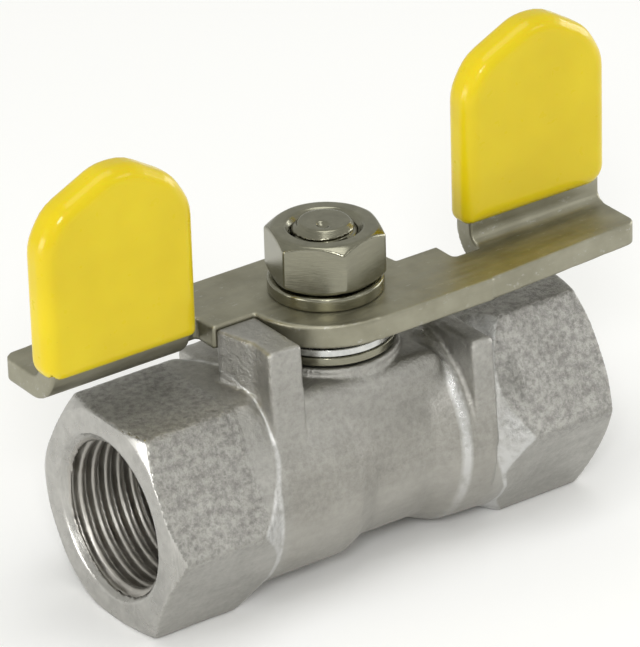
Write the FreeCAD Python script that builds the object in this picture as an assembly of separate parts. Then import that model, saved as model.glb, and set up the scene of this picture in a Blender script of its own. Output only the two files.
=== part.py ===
"""One-piece stainless ball valve, half-inch pipe size, with a stamped butterfly handle.

Millimetres. +X runs along the pipe, +Z is up along the stem, and the origin lies on the bottom
wrench flats, straight below the stem. The valve is shown open, with the handle along the pipe.
Heights below are measured from the pipe axis; raised() lifts each finished piece to its place.
"""
import FreeCAD, Part
import math
import os

V = FreeCAD.Vector

# ---- body ---------------------------------------------------------------------------------
BODY_LENGTH = 65.0           # end face to end face
ACROSS_FLATS = 27.0          # wrench hexagon at both ends
HEX_END_LEFT = -20.3         # where the inlet hexagon's corners stop
HEX_END_RIGHT = 19.7         # where the outlet hexagon's corners start
SHOULDER_LEFT = -16.6        # where the cones behind the corners have run down to the barrel
SHOULDER_RIGHT = 17.6
CORNER_CHAMFER = 1.1         # turned chamfer on the hexagon corners, along the pipe
WAIST_START = -4.9           # the barrel narrows beside the stem
WAIST_LEFT = -1.6
WAIST_RIGHT = 7.0
WAIST_END = 9.4
WAIST_R = 12.2
WAIST_END_R = 13.2
BULGE_R = 14.1               # barrel beside the outlet hexagon, flattened top and bottom

PAD_SIDE = 10.0              # flat-sided pad under the stem boss, from the centre line
PAD_END = 10.4
PAD_TOP = 12.9
PAD_ROUNDING = 1.5
PAD_TOP_ROUNDING = 2.4
BOSS_R = 8.8                 # round boss that holds the packing
BOSS_TOP = 14.0
LUG_SIDE = 10.2              # sides of the stop post and the lug behind it
LUG_TOP = 13.4
LUG_ROUNDING = 0.9
RIB_SIDE = 13.4              # cross rib between the pad and the outlet hexagon
RIB_TOP = 14.2
RIB_START = 12.2
RIB_END = 15.4
LUG_OUTER_X = -15.2          # lug behind the stop post
POST_FRONT_X = -15.4         # stop post: its outer face runs slightly in, then out again
POST_WAIST_X = -15.0
POST_WAIST_Y = -6.6
POST_BACK_X = -16.6
POST_TOP = 20.4
POST_ROUNDING = 0.8
POST_TOP_ROUNDING = 0.4
CORE = 2.0                   # a height inside the barrel, where the cast-on shapes start

# ---- waterway -----------------------------------------------------------------------------
THREAD_MINOR_R = 9.3155      # G 1/2 pipe thread, crest radius of the internal thread
THREAD_MAJOR_R = 10.4775     # G 1/2 pipe thread, root radius
THREAD_END = 18.5            # distance from the stem axis to the end of each thread
MOUTH_DEPTH = 1.3            # countersink at each mouth
MOUTH_OVERSIZE = 0.15        # countersink past the thread's root radius
NECK_FUNNEL = 3.0            # cone from the outlet thread down to the waterway

BALL_R = 8.0
BALL_GAP = 0.05              # ball to seats
BALL_ROOM = 0.4              # ball to metal
CAVITY_R = 8.35
WATERWAY_R = 4.6             # reduced bore through the ball, retainer and outlet neck
SEAT_FRONT = 4.3             # seat rings, distances from the stem axis
SEAT_BACK = 8.4
SEAT_R = 7.4
POCKET_FRONT = 6.0           # metal round each seat starts here

RETAINER_R = 9.0             # M18 insert
RETAINER_SHOULDER = 10.6
RETAINER_OUTER = 18.2
RETAINER_NOSE_GAP = 0.05
RETAINER_THREAD_GAP = 0.02
SOCKET_AF = 12.0             # hexagon socket for the retainer's key
SOCKET_DEPTH = 4.5
GASKET_T = 0.8

# ---- stem and packing ---------------------------------------------------------------------
STEM_R = 4.75
STEM_FLATS = 8.0             # across the two flats that drive the handle
STEM_THREAD_R = 3.96         # M8
STEM_THREAD_START = 20.0
STEM_SHANK_TOP = 20.4
STEM_PROUD = 0.6             # stem end above the nut
STEM_END_CHAMFER = 0.65
FLATS_BOTTOM = 17.2
RUNNING_GAP = 0.06

TANG_T = 3.0
TANG_LENGTH = 8.2            # shorter than the gap between the seats
TANG_BOTTOM = 5.2
SLOT_FLOOR = 4.9
SLOT_GAP = 0.1
COLLAR_R = 5.8
COLLAR_BOTTOM = 8.2
COLLAR_TOP = 9.4
COLLAR_GAP = 0.1
STEM_HOLE_BOTTOM = 10.0
GROOVE_BOTTOM = 10.3
GROOVE_TOP = 11.5
GROOVE_R = 3.72
O_RING_MIDDLE_R = 4.24
O_RING_SECTION_R = 0.5
PACKING_BOTTOM = 11.8
PACKING_T = 0.8
PACKING_R = 6.9
RING_GAP = 0.04              # soft rings to the stem
FACE_GAP = 0.02              # between faces that slide on each other

GLAND_NOSE_GAP = 0.1
GLAND_FLANGE_BOTTOM = 14.2
GLAND_TOP = 15.3
GLAND_R = 8.4
GLAND_ROUNDING = 0.3
DISC_R = 8.2                 # disc springs
DISC_T = 0.95
DISC_CONE = 0.25

# ---- handle -------------------------------------------------------------------------------
PLATE_T = 3.0                # handle sheet
PLATE_BOTTOM = 17.7
HUB_R = 10.7                 # round middle of the handle
HOLE_GAP = 0.03
ARM_INNER = 0.45             # inner edge of each arm, past the centre line
ARM_TIP_OUTER = 9.2          # outer edge of each arm at its tip
ARM_LENGTH = 40.2
ARM_TIP_ROUNDING = 1.4
NOTCH_START = 16.8           # bend relief beside each wing
BEND_INNER_R = 1.6
BEND_OVERLAP = 1.0           # the wing's blank runs this far into the arm
STOP_GAP = 0.15              # handle to stop post, at both ends of the quarter turn

WING_START = 20.6
RIGHT_WING_TOP = 46.95       # the left wing stands a little lower than the right one
LEFT_WING_TOP = 45.2
RIDGE_SHIFT = 0.8            # both ridges lie this far towards the outlet from mid-wing
HALF_RIDGE = 1.9
SHOULDER_IN = 2.3            # shoulder corner, in from the wing's side
SHOULDER_BELOW = 3.5         # and below its ridge
SIDE_BELOW = 7.4             # top of the straight side, below the ridge
WING_ROUNDING = 5.0

SLEEVE_T = 0.9               # dipped vinyl on the wings
SLEEVE_ROUNDING = 0.7
LEFT_SLEEVE_BOTTOM = 21.0    # the two wings are dipped to slightly different depths
RIGHT_SLEEVE_BOTTOM = 23.0

# ---- fasteners ----------------------------------------------------------------------------
LOCK_WASHER_INNER_R = 4.1
LOCK_WASHER_R = 7.1
LOCK_WASHER_T = 1.8
LOCK_WASHER_SPLIT = 0.7
LOCK_WASHER_SPLIT_AT = 100   # degrees from the outlet
NUT_AF = 13.0                # M8
NUT_HEIGHT = 6.5
NUT_TURN = 13                # degrees, how the nut came to rest
NUT_CHAMFER = 0.75
NUT_FACE_INSET = 0.15
NUT_HOLE_R = 4.0
NUT_SINK_R = 4.8
NUT_SINK_DEPTH = 0.8

# ---- derived values -----------------------------------------------------------------------
HALF_LENGTH = BODY_LENGTH / 2
FLAT_R = ACROSS_FLATS / 2
HEX_R = ACROSS_FLATS / math.sqrt(3)          # to the corners
PIPE_Z = FLAT_R                              # the pipe axis above the bottom flats
PLATE_TOP = PLATE_BOTTOM + PLATE_T
NUT_BOTTOM = PLATE_TOP + LOCK_WASHER_T
NUT_TOP = NUT_BOTTOM + NUT_HEIGHT
STEM_TOP = NUT_TOP + STEM_PROUD
POST_INNER_X = -(HUB_R + STOP_GAP)
POST_BACK_Y = -(ARM_INNER + STOP_GAP)
MARGIN = 1.0                                 # how far a cutter runs past what it cuts
NEAR = 0.1                                   # how closely an edge is looked for


# ---- helpers ------------------------------------------------------------------------------
def raised(shape):
    """Lift a shape drawn about the pipe axis to its place over the bottom flats."""
    moved = shape.copy()
    moved.translate(V(0, 0, PIPE_Z))
    return moved


def cyl_x(radius, start, end):
    """Cylinder along the pipe."""
    return Part.makeCylinder(radius, end - start, V(start, 0, 0), V(1, 0, 0))


def cyl_z(radius, bottom, top):
    """Cylinder along the stem."""
    return Part.makeCylinder(radius, top - bottom, V(0, 0, bottom))


def tube_z(inner, outer, bottom, top):
    """Plain ring round the stem."""
    return cyl_z(outer, bottom, top).cut(cyl_z(inner, bottom - MARGIN, top + MARGIN))


def box(x0, x1, y0, y1, z0, z1):
    """Box between two corners."""
    return Part.makeBox(x1 - x0, y1 - y0, z1 - z0, V(x0, y0, z0))


def turned_x(profile):
    """Solid of revolution about the pipe axis from (x, radius) points."""
    points = [V(x, 0, r) for x, r in profile]
    points.append(points[0])
    return Part.Face(Part.makePolygon(points)).revolve(V(0, 0, 0), V(1, 0, 0), 360)


def turned_z(profile):
    """Solid of revolution about the stem axis from (radius, z) points."""
    points = [V(r, 0, z) for r, z in profile]
    points.append(points[0])
    return Part.Face(Part.makePolygon(points)).revolve(V(0, 0, 0), V(0, 0, 1), 360)


def prism(points, along):
    """Solid swept from a closed polygon."""
    corners = points + [points[0]]
    return Part.Face(Part.makePolygon(corners)).extrude(along)


def hexagon(across_flats, turn_deg):
    """Corner points of a regular hexagon about the origin, as (a, b) pairs."""
    radius = across_flats / math.sqrt(3)
    angles = [math.radians(turn_deg + 60 * k) for k in range(6)]
    return [(radius * math.cos(a), radius * math.sin(a)) for a in angles]


def hex_bar_x(across_flats, start, end):
    """Hexagon bar along the pipe with flats at the top and bottom."""
    return prism([V(start, y, z) for y, z in hexagon(across_flats, 0)], V(end - start, 0, 0))


def turned_half(shape):
    """The same shape turned half a turn about the stem."""
    other = shape.copy()
    other.rotate(V(0, 0, 0), V(0, 0, 1), 180)
    return other


def round_edges(shape, radius, chosen):
    """Fillet the edges that the test function picks."""
    return shape.makeFillet(radius, [e for e in shape.Edges if chosen(e)])


def is_along(edge, axis):
    """True for a straight edge along the given axis."""
    if not isinstance(edge.Curve, Part.Line):
        return False
    return abs(edge.Curve.Direction.dot(axis)) > 0.999


# ---- casting ------------------------------------------------------------------------------
def end_hexagon(end, corner_stop, shoulder, shoulder_r):
    """One wrench hexagon, chamfered outside and coned down to the barrel inside."""
    chamfered = end - math.copysign(CORNER_CHAMFER, end)
    envelope = turned_x([(end, 0), (end, FLAT_R), (chamfered, HEX_R), (corner_stop, HEX_R),
                         (shoulder, shoulder_r), (shoulder, 0)])
    bar = hex_bar_x(ACROSS_FLATS, -HALF_LENGTH - MARGIN, HALF_LENGTH + MARGIN)
    return bar.common(envelope)


def barrel():
    """Middle of the casting, with its waist beside the stem and flats above and below."""
    start, end = SHOULDER_LEFT - MARGIN, SHOULDER_RIGHT + MARGIN
    inset = 0.6
    turned = turned_x([
        (start, 0), (start, FLAT_R - inset), (SHOULDER_LEFT, FLAT_R), (WAIST_START, FLAT_R),
        (WAIST_LEFT, WAIST_R), (WAIST_RIGHT, WAIST_R), (WAIST_END, WAIST_END_R),
        (SHOULDER_RIGHT, BULGE_R), (end, BULGE_R - inset), (end, 0)])
    return turned.common(box(start, end, -HEX_R, HEX_R, -FLAT_R, FLAT_R))


def stem_pad():
    """Flat-sided pad and round boss that carry the stem packing."""
    pad = box(POST_INNER_X - MARGIN, PAD_END, -PAD_SIDE, PAD_SIDE, CORE, PAD_TOP)
    pad = round_edges(pad, PAD_ROUNDING,
                      lambda e: is_along(e, V(0, 0, 1)) and e.CenterOfMass.x > 0)
    pad = round_edges(pad, PAD_TOP_ROUNDING, lambda e: is_along(e, V(1, 0, 0))
                      and e.CenterOfMass.z > PAD_TOP - NEAR)
    return pad.fuse(cyl_z(BOSS_R, CORE, BOSS_TOP))


def stop_post():
    """Tall cast post that stops the handle at both ends of its quarter turn."""
    outline = [(POST_INNER_X, -LUG_SIDE), (POST_FRONT_X, -LUG_SIDE), (POST_WAIST_X, POST_WAIST_Y),
               (POST_BACK_X, POST_BACK_Y), (POST_INNER_X, POST_BACK_Y)]
    post = prism([V(x, y, CORE) for x, y in outline], V(0, 0, POST_TOP - CORE))
    post = round_edges(post, POST_ROUNDING, lambda e: is_along(e, V(0, 0, 1))
                       and e.CenterOfMass.x < POST_FRONT_X + NEAR
                       and e.CenterOfMass.y < NEAR - LUG_SIDE)
    return round_edges(post, POST_TOP_ROUNDING, lambda e: e.CenterOfMass.z > POST_TOP - NEAR)


def low_lug():
    """Low lug behind the post, that the handle passes over."""
    lug = box(LUG_OUTER_X, POST_INNER_X, 0, LUG_SIDE, CORE, LUG_TOP)
    return round_edges(lug, LUG_ROUNDING, lambda e: e.CenterOfMass.z > LUG_TOP - NEAR
                       and e.CenterOfMass.y > MARGIN)


def cross_rib():
    """Rib across the casting beside the outlet hexagon."""
    rib = box(RIB_START, RIB_END, -RIB_SIDE, RIB_SIDE, 0, RIB_TOP)
    return round_edges(rib, LUG_ROUNDING, lambda e: e.CenterOfMass.z > RIB_TOP - NEAR)


def thread_cuts(side):
    """Threaded hole at one end, with its countersunk mouth."""
    outer, inner = side * HALF_LENGTH, side * THREAD_END
    mouth_r = THREAD_MAJOR_R + MOUTH_OVERSIZE
    sink_end = outer - side * MOUTH_DEPTH
    hole = cyl_x(THREAD_MINOR_R, min(outer, inner), max(outer, inner))
    mouth = turned_x([(outer + side * MARGIN, 0), (outer + side * MARGIN, mouth_r),
                      (outer, mouth_r), (sink_end, THREAD_MINOR_R), (sink_end, 0)])
    return [hole, mouth]


def body_cuts():
    """Everything bored out of the casting."""
    retainer_end = GASKET_T - RETAINER_SHOULDER
    funnel = turned_x([
        (THREAD_END - NECK_FUNNEL, 0), (THREAD_END - NECK_FUNNEL, WATERWAY_R),
        (THREAD_END, THREAD_MINOR_R - MARGIN), (THREAD_END, 0)])
    return thread_cuts(-1) + thread_cuts(1) + [
        cyl_x(RETAINER_R + RETAINER_THREAD_GAP, -THREAD_END - MARGIN, retainer_end),
        cyl_x(CAVITY_R, -THREAD_END, SEAT_BACK),
        cyl_x(WATERWAY_R, 0, THREAD_END + MARGIN),
        funnel,
        cyl_z(COLLAR_R + COLLAR_GAP, 0, STEM_HOLE_BOTTOM),
        cyl_z(STEM_R + RUNNING_GAP, 0, BOSS_TOP + MARGIN),
        cyl_z(PACKING_R, PACKING_BOTTOM, BOSS_TOP + MARGIN)]


def outlet_seat_pocket():
    """Casting metal that centres the outlet seat in the cavity."""
    sleeve = cyl_x(CAVITY_R, POCKET_FRONT, SEAT_BACK)
    sleeve = sleeve.cut(cyl_x(SEAT_R, 0, SEAT_BACK + MARGIN))
    return sleeve.cut(Part.makeSphere(BALL_R + BALL_ROOM))


def body():
    """The one-piece casting."""
    solid = barrel()
    for shape in (stop_post(), end_hexagon(-HALF_LENGTH, HEX_END_LEFT, SHOULDER_LEFT, FLAT_R),
                  stem_pad(), low_lug(), cross_rib(),
                  end_hexagon(HALF_LENGTH, HEX_END_RIGHT, SHOULDER_RIGHT, BULGE_R)):
        solid = solid.fuse(shape)
    for cut in body_cuts():
        solid = solid.cut(cut)
    return solid.fuse(outlet_seat_pocket()).removeSplitter()


# ---- flow path ----------------------------------------------------------------------------
def seat():
    """PTFE ring of the outlet side, with a spherical face against the ball."""
    ring = cyl_x(SEAT_R, SEAT_FRONT, SEAT_BACK).cut(cyl_x(WATERWAY_R, 0, SEAT_BACK + MARGIN))
    return ring.cut(Part.makeSphere(BALL_R + BALL_GAP))


def seat_retainer():
    """Screwed insert that holds the inlet seat, with a hexagon socket for its key."""
    outer, shoulder = -RETAINER_OUTER, -RETAINER_SHOULDER
    plug = cyl_x(RETAINER_R, outer, shoulder)
    plug = plug.fuse(cyl_x(CAVITY_R - RETAINER_NOSE_GAP, shoulder, -POCKET_FRONT))
    plug = plug.cut(cyl_x(SEAT_R, -SEAT_BACK, 0))
    plug = plug.cut(cyl_x(WATERWAY_R, outer - MARGIN, 0))
    plug = plug.cut(hex_bar_x(SOCKET_AF, outer - MARGIN, outer + SOCKET_DEPTH))
    return plug.cut(Part.makeSphere(BALL_R + BALL_ROOM)).removeSplitter()


def retainer_gasket():
    """PTFE ring squeezed between the retainer's shoulder and the casting."""
    start = -RETAINER_SHOULDER
    return cyl_x(RETAINER_R, start, start + GASKET_T).cut(cyl_x(CAVITY_R, start - MARGIN, 0))


def ball():
    """Bored ball with the slot that the stem's tang drives."""
    half_slot = TANG_T / 2 + SLOT_GAP
    solid = Part.makeSphere(BALL_R).cut(cyl_x(WATERWAY_R, -BALL_R - MARGIN, BALL_R + MARGIN))
    return solid.cut(box(-half_slot, half_slot, -BALL_R, BALL_R, SLOT_FLOOR, BALL_R + MARGIN))


# ---- stem and packing ---------------------------------------------------------------------
def stem():
    """Blow-out-proof stem: tang, collar, seal groove, driving flats and M8 end."""
    half_tang, half_flats = TANG_T / 2, STEM_FLATS / 2
    reach = STEM_R + MARGIN
    tang = box(-half_tang, half_tang, -reach, reach, TANG_BOTTOM, COLLAR_BOTTOM + MARGIN)
    tang = tang.common(cyl_z(TANG_LENGTH / 2, TANG_BOTTOM, COLLAR_BOTTOM + MARGIN))
    shaft = cyl_z(COLLAR_R, COLLAR_BOTTOM, COLLAR_TOP)
    shaft = shaft.fuse(cyl_z(STEM_R, COLLAR_BOTTOM, STEM_SHANK_TOP))
    for side in (-1, 1):
        y0, y1 = sorted((side * half_flats, side * reach))
        shaft = shaft.cut(box(-reach, reach, y0, y1, FLATS_BOTTOM, STEM_SHANK_TOP + MARGIN))
    shaft = shaft.cut(tube_z(GROOVE_R, reach, GROOVE_BOTTOM, GROOVE_TOP))
    tip_r = STEM_THREAD_R - STEM_END_CHAMFER
    end = turned_z([(0, STEM_THREAD_START), (STEM_THREAD_R, STEM_THREAD_START),
                    (STEM_THREAD_R, STEM_TOP - STEM_END_CHAMFER), (tip_r, STEM_TOP),
                    (0, STEM_TOP)])
    return shaft.fuse([tang, end]).removeSplitter()


def stem_o_ring():
    """O-ring in the stem's groove."""
    return Part.makeTorus(O_RING_MIDDLE_R, O_RING_SECTION_R,
                          V(0, 0, (GROOVE_BOTTOM + GROOVE_TOP) / 2))


def thrust_washer():
    """PTFE washer between the stem's collar and the casting."""
    return tube_z(STEM_R + RING_GAP, COLLAR_R, COLLAR_TOP + FACE_GAP, STEM_HOLE_BOTTOM)


def packing_ring(index):
    """One of the two PTFE packing rings round the stem."""
    bottom = PACKING_BOTTOM + index * PACKING_T
    return tube_z(STEM_R + RING_GAP, PACKING_R, bottom, bottom + PACKING_T)


def gland_ring():
    """Turned gland that presses on the packing."""
    top = GLAND_TOP - FACE_GAP
    nose_bottom = PACKING_BOTTOM + 2 * PACKING_T
    nose_r = PACKING_R - GLAND_NOSE_GAP
    nose = tube_z(STEM_R + RUNNING_GAP, nose_r, nose_bottom, top)
    flange = tube_z(nose_r - GLAND_NOSE_GAP, GLAND_R, GLAND_FLANGE_BOTTOM, top)
    flange = round_edges(flange, GLAND_ROUNDING,
                         lambda e: abs(e.BoundBox.XLength - 2 * GLAND_R) < NEAR
                         and e.BoundBox.ZLength < NEAR)
    return nose.fuse(flange).removeSplitter()


def disc_spring(upper):
    """Conical disc spring; the pair lies with the inner rims together."""
    inner, low = STEM_R + HOLE_GAP, GLAND_TOP
    crown = low + DISC_CONE
    profile = [(inner, crown), (DISC_R, low), (DISC_R, low + DISC_T), (inner, crown + DISC_T)]
    if upper:
        mirror = 2 * (crown + DISC_T)
        profile = [(r, mirror - z) for r, z in profile]
    return turned_z(profile)


# ---- handle -------------------------------------------------------------------------------
def arm():
    """Flat right arm, up to the start of its bend."""
    bend_start = PLATE_T / 2 - (BEND_INNER_R + PLATE_T)
    outline = [(0, -HUB_R), (NOTCH_START, -HUB_R), (ARM_LENGTH, -ARM_TIP_OUTER),
               (ARM_LENGTH, bend_start), (NOTCH_START, bend_start), (NOTCH_START, ARM_INNER),
               (0, ARM_INNER)]
    flat = prism([V(x, y, PLATE_BOTTOM) for x, y in outline], V(0, 0, PLATE_T))
    return round_edges(flat, ARM_TIP_ROUNDING, lambda e: is_along(e, V(0, 0, 1))
                       and e.CenterOfMass.x > ARM_LENGTH - NEAR
                       and e.CenterOfMass.y < NEAR - ARM_TIP_OUTER)


def wing_outline(grow, bottom, top, ridge_shift, y0, y1):
    """Plate of the wing's outline, grown all round: straight sides under a rounded roof."""
    middle = (WING_START + ARM_LENGTH) / 2
    half = ARM_LENGTH + grow - middle
    ridge = middle + ridge_shift
    peak = top + grow
    low, high = peak - SIDE_BELOW, peak - SHOULDER_BELOW
    outline = [(middle - half, bottom), (middle + half, bottom), (middle + half, low),
               (middle + half - SHOULDER_IN, high), (ridge + HALF_RIDGE, peak),
               (ridge - HALF_RIDGE, peak), (middle - half + SHOULDER_IN, high),
               (middle - half, low)]
    plate = prism([V(x, y0, z) for x, z in outline], V(0, y1 - y0, 0))
    return round_edges(plate, WING_ROUNDING + grow, lambda e: is_along(e, V(0, 1, 0))
                       and e.CenterOfMass.z > low - NEAR)


def wing(top, ridge_shift):
    """Upright wing of the right arm with its bend, standing on the centre line."""
    outer_r = BEND_INNER_R + PLATE_T
    y_out = PLATE_T / 2
    y_in = -y_out
    y_bend = y_out - outer_r
    z_bend = PLATE_BOTTOM + outer_r
    y_start = y_bend - BEND_OVERLAP
    slope = math.sqrt(0.5)

    def at(y, z):
        return V(WING_START, y, z)

    def arc(radius, start, end):
        middle = at(y_bend + radius * slope, z_bend - radius * slope)
        return Part.Arc(start, middle, end).toShape()

    section = Part.Wire([
        Part.makeLine(at(y_start, PLATE_BOTTOM), at(y_bend, PLATE_BOTTOM)),
        arc(outer_r, at(y_bend, PLATE_BOTTOM), at(y_out, z_bend)),
        Part.makeLine(at(y_out, z_bend), at(y_out, top)),
        Part.makeLine(at(y_out, top), at(y_in, top)),
        Part.makeLine(at(y_in, top), at(y_in, z_bend)),
        arc(BEND_INNER_R, at(y_in, z_bend), at(y_bend, PLATE_TOP)),
        Part.makeLine(at(y_bend, PLATE_TOP), at(y_start, PLATE_TOP)),
        Part.makeLine(at(y_start, PLATE_TOP), at(y_start, PLATE_BOTTOM))])
    blank = Part.Face(section).extrude(V(ARM_LENGTH - WING_START, 0, 0))
    return blank.common(wing_outline(0, PLATE_BOTTOM - MARGIN, top, ridge_shift,
                                     y_start - MARGIN, y_out + MARGIN))


def handle_plate():
    """Stamped sheet with two arms, two bent-up wings and the hole for the stem's flats."""
    right = arm().fuse(wing(RIGHT_WING_TOP, RIDGE_SHIFT))
    left = turned_half(arm().fuse(wing(LEFT_WING_TOP, -RIDGE_SHIFT)))
    sheet = cyl_z(HUB_R, PLATE_BOTTOM, PLATE_TOP).fuse([right, left])
    bottom, top = PLATE_BOTTOM - MARGIN, PLATE_TOP + MARGIN
    half_flats = STEM_FLATS / 2 + HOLE_GAP
    hole = cyl_z(STEM_R + HOLE_GAP, bottom, top)
    flats = box(-HUB_R, HUB_R, -half_flats, half_flats, bottom, top)
    return sheet.cut(hole.common(flats)).removeSplitter()


def grip_sleeve(bottom, top, ridge_shift):
    """Vinyl dipped over the right wing, open at the bottom."""
    half = PLATE_T / 2 + SLEEVE_T
    skin = wing_outline(SLEEVE_T, bottom, top, ridge_shift, -half, half)
    skin = round_edges(skin, SLEEVE_ROUNDING, lambda e: abs(abs(e.CenterOfMass.y) - half) < NEAR
                       and e.CenterOfMass.z > bottom + NEAR)
    return skin.cut(wing(top, ridge_shift))


# ---- fasteners ----------------------------------------------------------------------------
def lock_washer():
    """Split spring washer under the nut."""
    ring = tube_z(LOCK_WASHER_INNER_R, LOCK_WASHER_R, PLATE_TOP, NUT_BOTTOM)
    half = LOCK_WASHER_SPLIT / 2
    gap = box(0, LOCK_WASHER_R + MARGIN, -half, half, PLATE_TOP - MARGIN, NUT_BOTTOM + MARGIN)
    gap.rotate(V(0, 0, 0), V(0, 0, 1), LOCK_WASHER_SPLIT_AT)
    return ring.cut(gap)


def stem_nut():
    """M8 hexagon nut, chamfered on both faces and countersunk on top."""
    corner_r = NUT_AF / math.sqrt(3)
    face_r = NUT_AF / 2 - NUT_FACE_INSET
    outline = [V(a, b, NUT_BOTTOM) for a, b in hexagon(NUT_AF, NUT_TURN)]
    bar = prism(outline, V(0, 0, NUT_HEIGHT))
    blank = turned_z([(0, NUT_BOTTOM), (face_r, NUT_BOTTOM), (corner_r, NUT_BOTTOM + NUT_CHAMFER),
                      (corner_r, NUT_TOP - NUT_CHAMFER), (face_r, NUT_TOP), (0, NUT_TOP)])
    hole = cyl_z(NUT_HOLE_R, NUT_BOTTOM - MARGIN, NUT_TOP + MARGIN)
    countersink = turned_z([(0, NUT_TOP), (NUT_SINK_R, NUT_TOP),
                            (NUT_SINK_R - NUT_SINK_DEPTH, NUT_TOP - NUT_SINK_DEPTH),
                            (0, NUT_TOP - NUT_SINK_DEPTH)])
    return bar.common(blank).cut(hole).cut(countersink)


# ---- export -------------------------------------------------------------------------------
def all_parts():
    """Every sub-part by node name."""
    outlet_seat = seat()
    return {
        "body": body(),
        "seat_retainer": seat_retainer(),
        "retainer_gasket": retainer_gasket(),
        "inlet_seat": turned_half(outlet_seat),
        "outlet_seat": outlet_seat,
        "ball": ball(),
        "stem": stem(),
        "stem_o_ring": stem_o_ring(),
        "thrust_washer": thrust_washer(),
        "lower_packing_ring": packing_ring(0),
        "upper_packing_ring": packing_ring(1),
        "gland_ring": gland_ring(),
        "lower_disc_spring": disc_spring(False),
        "upper_disc_spring": disc_spring(True),
        "handle_plate": handle_plate(),
        "left_grip_sleeve": turned_half(
            grip_sleeve(LEFT_SLEEVE_BOTTOM, LEFT_WING_TOP, -RIDGE_SHIFT)),
        "right_grip_sleeve": grip_sleeve(RIGHT_SLEEVE_BOTTOM, RIGHT_WING_TOP, RIDGE_SHIFT),
        "lock_washer": lock_washer(),
        "stem_nut": stem_nut(),
    }


os.makedirs("parts", exist_ok=True)
for node, shape in all_parts().items():
    placed = raised(shape)
    placed.exportStep("parts/" + node + ".step")
    limits = placed.BoundBox
    print("%-20s solids %d valid %s volume %.1f  x %.1f..%.1f y %.1f..%.1f z %.1f..%.1f" % (
        node, len(placed.Solids), placed.isValid(), placed.Volume, limits.XMin, limits.XMax,
        limits.YMin, limits.YMax, limits.ZMin, limits.ZMax))
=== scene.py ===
"""Looks of a half-inch stainless ball valve with a butterfly handle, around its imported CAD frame.

Lengths below are millimetres. Shapes are drawn in the pipe's own frame: x runs along the pipe,
z is the height over the pipe axis, and the stem stands on z. mesh_object() turns them into metres
in the row frame, where the pipe axis lies PIPE_Z above the bottom flats.
"""
import bpy
import math
import numpy as np
from mathutils import Matrix, Vector, noise


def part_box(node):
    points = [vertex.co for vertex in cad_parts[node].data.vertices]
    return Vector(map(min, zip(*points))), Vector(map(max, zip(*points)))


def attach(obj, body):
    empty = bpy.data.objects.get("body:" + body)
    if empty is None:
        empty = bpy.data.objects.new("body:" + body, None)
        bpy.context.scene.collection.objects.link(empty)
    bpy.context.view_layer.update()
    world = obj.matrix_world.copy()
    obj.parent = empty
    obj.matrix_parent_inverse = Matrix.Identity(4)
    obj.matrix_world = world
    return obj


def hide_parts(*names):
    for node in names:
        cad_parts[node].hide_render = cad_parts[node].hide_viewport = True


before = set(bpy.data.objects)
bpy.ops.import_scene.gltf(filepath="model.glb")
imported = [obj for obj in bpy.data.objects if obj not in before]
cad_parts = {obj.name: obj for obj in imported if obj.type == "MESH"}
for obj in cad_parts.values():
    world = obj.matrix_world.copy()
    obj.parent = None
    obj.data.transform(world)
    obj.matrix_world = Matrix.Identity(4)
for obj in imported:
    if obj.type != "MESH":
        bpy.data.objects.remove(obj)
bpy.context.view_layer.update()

MM = 0.001


# ---- sizes read from the frame ------------------------------------------------------------
def node_box(node):
    """Lowest and highest corner of a CAD node, in millimetres."""
    low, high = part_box(node)
    return low / MM, high / MM


body_high = node_box("body")[1]
plate_low, plate_high = node_box("handle_plate")
nut_low, nut_high = node_box("stem_nut")
stem_high = node_box("stem")[1]
washer_high = node_box("lock_washer")[1]
gland_low, gland_high = node_box("gland_ring")
disc_low, disc_high = node_box("lower_disc_spring")
upper_disc_high = node_box("upper_disc_spring")[1]
tang_low = node_box("stem")[0]

HALF_LENGTH = body_high.x
HEX_R = body_high.y
FLAT_R = HEX_R * math.sqrt(3) / 2
PIPE_Z = FLAT_R
PLATE_BOTTOM = plate_low.z - PIPE_Z
ARM_LENGTH = plate_high.x
HUB_R = plate_high.y
RIGHT_WING_TOP = plate_high.z - PIPE_Z
NUT_BOTTOM = nut_low.z - PIPE_Z
NUT_TOP = nut_high.z - PIPE_Z
STEM_TOP = stem_high.z - PIPE_Z
COLLAR_R = stem_high.x
TANG_BOTTOM = tang_low.z - PIPE_Z
LOCK_WASHER_R = washer_high.x
LEFT_SLEEVE_BOTTOM = node_box("left_grip_sleeve")[0].z - PIPE_Z
RIGHT_SLEEVE_BOTTOM = node_box("right_grip_sleeve")[0].z - PIPE_Z
SLEEVE_T = node_box("right_grip_sleeve")[1].z - plate_high.z
LEFT_WING_TOP = node_box("left_grip_sleeve")[1].z - PIPE_Z - SLEEVE_T
GLAND_R = gland_high.x
GLAND_BOTTOM = gland_low.z - PIPE_Z
GLAND_TOP = gland_high.z - PIPE_Z
DISC_R = disc_high.x
DISC_BOTTOM = disc_low.z - PIPE_Z
DISC_TOP = upper_disc_high.z - PIPE_Z

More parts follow.
